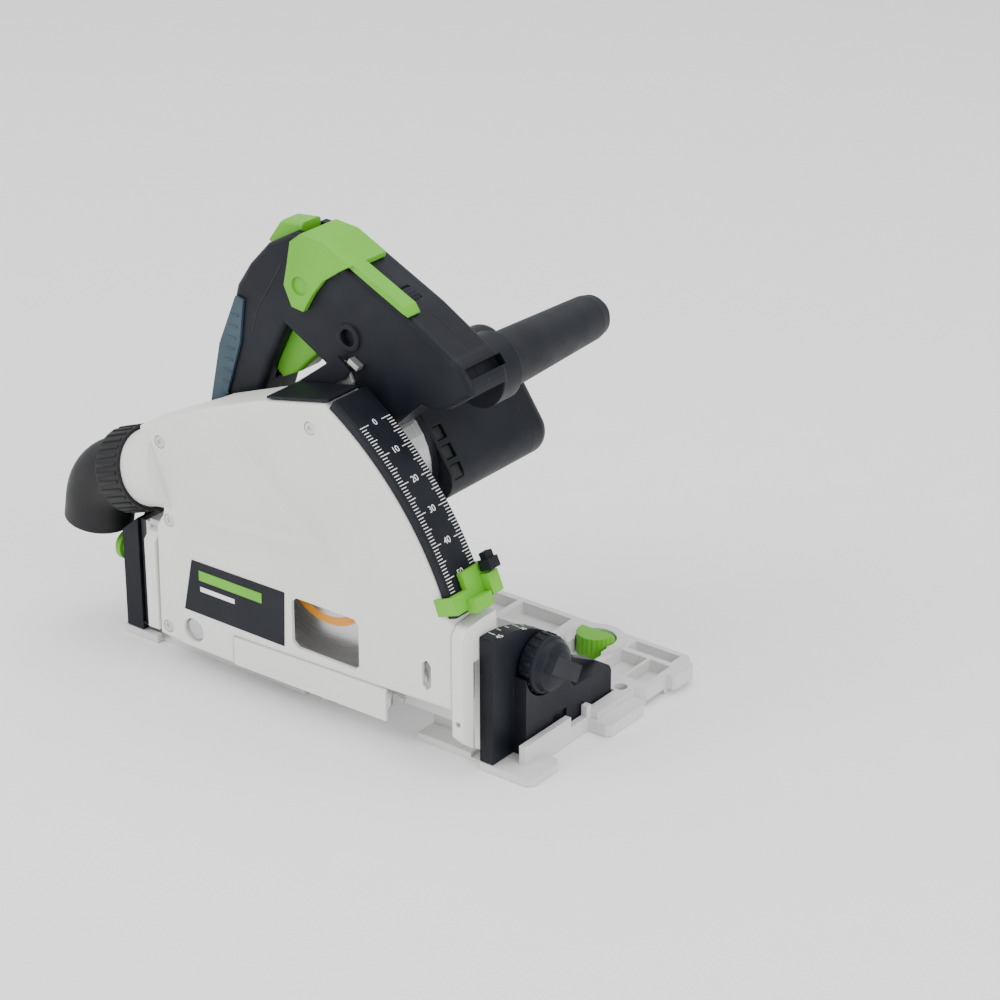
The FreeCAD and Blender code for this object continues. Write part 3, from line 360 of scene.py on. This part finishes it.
def lettering(name, entries, height, material, body, depth=0.00012):
    """Numerals as thin raised meshes; entries are (text, placement)."""
    bm = bmesh.new()
    for text, place in entries:
        curve = bpy.data.curves.new("temp_text", "FONT")
        curve.body = text
        curve.size = height
        curve.extrude = depth / 2
        curve.align_x, curve.align_y = "CENTER", "CENTER"
        holder = bpy.data.objects.new("temp_text", curve)
        bpy.context.scene.collection.objects.link(holder)
        mesh = bpy.data.meshes.new_from_object(holder)
        mesh.transform(place)
        bm.from_mesh(mesh)
        bpy.data.objects.remove(holder)
        bpy.data.curves.remove(curve)
        bpy.data.meshes.remove(mesh)
    return piece(name, bm, material, body)


# ---------------------------------------------------------------- depth scale on the curved strip
strip_low, strip_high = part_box("depth_scale_strip")
STRIP_R = 0.1924
MARK_RISE = 0.0002
SCALE_TOP, PER_MM = 51.6, 0.522
marks = bmesh.new()
for depth in range(0, 56):
    length = 0.0066 if depth % 10 == 0 else 0.0052 if depth % 5 == 0 else 0.0036
    for side, edge in ((1, strip_low.y + 0.0012), (-1, strip_high.y - 0.0012)):
        place = around(PIVOT, STRIP_R + 0.00004, SCALE_TOP - PER_MM * depth, edge + side * length / 2)
        block(marks, (0.00042, length, MARK_RISE), place)
piece("depth_scale_marks", marks, WHITE_INK, "saw_housing")


def facing_out(radius, degrees, y):
    """Placement for text read from outside: local X to +Y, Y upward along the arc, Z outward."""
    a = math.radians(degrees)
    out = Vector((math.cos(a), 0, math.sin(a)))
    up = Vector((-math.sin(a), 0, math.cos(a)))
    return axes_at(PIVOT + out * radius + Vector((0, y, 0)), (0, 1, 0), up, out)


strip_mid = (strip_low.y + strip_high.y) / 2
INK_LIFT = 0.00005
lettering("depth_scale_numbers",
          [(str(d), facing_out(STRIP_R + INK_LIFT, SCALE_TOP - PER_MM * d, strip_mid))
           for d in (0, 10, 20, 30, 40, 50, 55)],
          0.0050, WHITE_INK, "saw_housing")

# ---------------------------------------------------------------- bevel scale on the front segment's rim
def on_rim(x, degrees, radius):
    """Placement on the rim about the tilt axis: local X along the rim, Y along +X, Z outward."""
    a = math.radians(degrees)
    out = Vector((0, math.cos(a), math.sin(a)))
    along = Vector((0, math.sin(a), -math.cos(a)))
    return axes_at(Vector((x, 0, 0)) + out * radius, along, out.cross(along), out)


seg_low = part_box("front_segment")[0]
RIM_R = 0.0770
BEVEL_ZERO, BEVEL_STEP = 42.0, 5
marks = bmesh.new()
for i in range(0, 46, BEVEL_STEP):
    length = 0.0040 if i % 15 == 0 else 0.0026
    place = on_rim(seg_low.x + 0.0008 + length / 2, BEVEL_ZERO + i, RIM_R + INK_LIFT)
    block(marks, (0.0005, length, MARK_RISE), place)
piece("bevel_scale_marks", marks, WHITE_INK, "base")
lettering("bevel_scale_numbers",
          [(str(i), on_rim(seg_low.x + 0.0078, BEVEL_ZERO + i, RIM_R + INK_LIFT))
           for i in (0, 15, 30, 45)],
          0.0044, WHITE_INK, "base")

# ---------------------------------------------------------------- name plate decoration
plate_low, plate_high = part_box("name_plate")
plate_face = plate_low.y - INK_LIFT
stripes = bmesh.new()
span = plate_high.x - plate_low.x
block(stripes, (span * 0.62, MARK_RISE, 0.0060),
      Matrix.Translation((plate_low.x + span * 0.47, plate_face, plate_high.z - 0.0085)), 0.00008)
piece("plate_green_bar", stripes, GREEN_NYLON, "saw_housing")
stripes = bmesh.new()
block(stripes, (span * 0.34, MARK_RISE, 0.0028),
      Matrix.Translation((plate_low.x + span * 0.34, plate_face, plate_high.z - 0.0165)), 0.00008)
piece("plate_white_bar", stripes, WHITE_INK, "saw_housing")

# ---------------------------------------------------------------- raised creases of the cover
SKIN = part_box("guard_cover")[0].y


def crease(name, start, end, width=0.0016, rise=0.0006):
    """Low rounded ridge between two (x, z) points on the cover's flat face."""
    a, b = Vector((start[0], SKIN, start[1])), Vector((end[0], SKIN, end[1]))
    bm = bmesh.new()
    along = (b - a).normalized()
    outward = Vector((0, -1, 0))
    place = axes_at((a + b) / 2, along, along.cross(outward) * -1, outward)
    block(bm, ((b - a).length, width, rise * 2), place, rise * 0.9)
    return piece(name, bm, PAINT, "saw_housing", smooth=True)


crease("cover_crease_upper", (-0.040, 0.158), (0.021, 0.108))
crease("cover_crease_lower", (-0.077, 0.098), (0.021, 0.108))

# ---------------------------------------------------------------- ribs of the dust collar
port_root = Vector(joint("elbow_swivel")["pos_m"])
side = Vector((0, 1, 0))
third = DROP.cross(side)
ribs = bmesh.new()
COLLAR_RIBS = 30
for i in range(COLLAR_RIBS):
    a = 2 * math.pi * i / COLLAR_RIBS
    out = side * math.cos(a) + third * math.sin(a)
    place = axes_at(port_root + DROP * 0.0375 + out * 0.0237, DROP, out.cross(DROP), out)
    block(ribs, (0.0150, 0.0022, 0.0010), place, 0.0004)
piece("dust_collar_ribs", ribs, PORT_GREY, "saw_housing", smooth=True)

# ---------------------------------------------------------------- knob ribs
def knob_ribs(name, body, count=18):
    """Rounded grip ribs round the rim of a clamp knob."""
    axle = Vector(joint(f"{body}_turn")["pos_m"])
    ribs = bmesh.new()
    middle = 0.1222 if axle.x > 0 else -0.1378
    for i in range(count):
        a = 2 * math.pi * i / count
        out = Vector((0, math.cos(a), math.sin(a)))
        at = Vector((middle, axle.y, axle.z)) + out * 0.0156
        place = axes_at(at, (1, 0, 0), out.cross((1, 0, 0)), out)
        block(ribs, (0.0058, 0.0022, 0.0012), place, 0.0004)
    return piece(name, ribs, NYLON, body, smooth=True)


knob_ribs("front_knob_ribs", "front_knob")
knob_ribs("rear_knob_ribs", "rear_knob")


# ---------------------------------------------------------------- handle seam and grip ribs
def seam(name, points, y, material, body, width=0.0007, rise=0.0002):
    """Narrow strip following (x, z) points on a face of constant y."""
    bm = bmesh.new()
    for start, end in zip(points, points[1:]):
        a, b = Vector((start[0], y, start[1])), Vector((end[0], y, end[1]))
        along = (b - a).normalized()
        block(bm, ((b - a).length + width, width, rise * 2),
              axes_at((a + b) / 2, along, along.cross((0, 1, 0)), (0, 1, 0)), rise * 0.5)
    return piece(name, bm, material, body)


HANDLE_FACE_Y = 0.017
seam("handle_seam", [(-0.0345, 0.238), (-0.0520, 0.210), (-0.0560, 0.196)], HANDLE_FACE_Y, SHADOW,
     "plunge_unit")
pad_low, pad_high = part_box("grip_pad")
for tag, face in (("near", pad_low.y), ("far", pad_high.y)):
    bm = bmesh.new()
    for i in range(13):
        z = 0.124 + 0.0066 * i
        x = -0.0845 + (z - 0.116) * 0.2000
        block(bm, (0.0060, 0.0009, 0.0010), Matrix.Translation((x, face, z)), 0.0002)
    piece(f"grip_ribs_{tag}", bm, SLATE, "plunge_unit", smooth=True)

# ---------------------------------------------------------------- strip tail along the top of the cover
tail = bmesh.new()
a, b = Vector((0.0215, -0.001, 0.1872)), Vector((-0.0205, -0.001, 0.1782))
along = (b - a).normalized()
place = axes_at((a + b) / 2, along, (0, 1, 0), along.cross((0, 1, 0)))
block(tail, ((b - a).length, 0.0245, 0.0014), place, 0.0004)
piece("depth_strip_tail", tail, NYLON, "saw_housing")

# ---------------------------------------------------------------- painted shade: end cap vent slots and motor vent floors
cap_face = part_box("motor_end_cap")[1].y
along_u = Vector((math.cos(PLUNGE), 0, math.sin(PLUNGE)))
along_v = Vector((-math.sin(PLUNGE), 0, math.cos(PLUNGE)))
# Near-black bars on the end cap face: painted shade standing in for the shadowed vent slots.
vent_slot_shade = bmesh.new()
for i in range(-3, 4):
    at = MOTOR + along_v * (0.0065 * i)
    place = axes_at((at.x, cap_face - 0.0003, at.z), along_u, along_v, along_u.cross(along_v))
    block(vent_slot_shade, (0.034 - 0.002 * abs(i), 0.0028, 0.0008), place, 0.0003)
piece("end_cap_vent_shade", vent_slot_shade, SHADOW, "plunge_unit")
# Near-black plates on the floors of the three motor vent recesses: painted shade in the recesses.
vent_floor_shade = bmesh.new()
for v in (-0.027, -0.016, -0.005):
    at = MOTOR + along_u * 0.0357 + along_v * v
    place = axes_at((at.x, 0.056, at.z), along_u, along_v, along_u.cross(along_v))
    block(vent_floor_shade, (0.0005, 0.0070, 0.0072), place, 0.0001)
piece("motor_vent_floor_shade", vent_floor_shade, SHADOW, "plunge_unit")

# ---------------------------------------------------------------- floor, light and camera
ground_mesh = bpy.data.meshes.new("studio_floor")
sheet = bmesh.new()
bmesh.ops.create_grid(sheet, x_segments=2, y_segments=2, size=12)
sheet.to_mesh(ground_mesh)
sheet.free()
ground_mesh.materials.append(FLOOR)
floor = bpy.data.objects.new("studio_floor", ground_mesh)
floor.location.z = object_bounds()[0].z - 0.0002
bpy.context.scene.collection.objects.link(floor)

world = bpy.data.worlds.new("studio")
bpy.context.scene.world = world
world.use_nodes = True
world.node_tree.nodes["Background"].inputs["Color"].default_value = (0.98, 0.99, 1.0, 1)
world.node_tree.nodes["Background"].inputs["Strength"].default_value = 1.0

AIM = Vector((0, 0.03, 0.11))


def softbox(name, where, size, power):
    light = bpy.data.lights.new(name, "AREA")
    light.shape, light.size, light.energy = "SQUARE", size, power
    obj = bpy.data.objects.new(name, light)
    obj.location = where
    obj.rotation_euler = (AIM - Vector(where)).to_track_quat("-Z", "Y").to_euler()
    bpy.context.scene.collection.objects.link(obj)


softbox("key_light", (-0.9, -1.3, 1.6), 1.2, 26)
softbox("front_light", (1.6, -0.3, 0.9), 1.0, 12)
softbox("top_light", (0.1, 0.5, 1.9), 1.4, 16)

AZIMUTH, ELEVATION = math.radians(37.5), math.radians(25.3)
camera = bpy.data.objects.new("camera", bpy.data.cameras.new("camera"))
camera.data.sensor_width = 36
camera.data.lens = 108
camera.location = (0.9325, -1.0588, 0.7865)
toward = -Vector((math.sin(AZIMUTH) * math.cos(ELEVATION), -math.cos(AZIMUTH) * math.cos(ELEVATION),
                  math.sin(ELEVATION)))
camera.rotation_euler = toward.to_track_quat("-Z", "Y").to_euler()
bpy.context.scene.collection.objects.link(camera)
bpy.context.scene.camera = camera
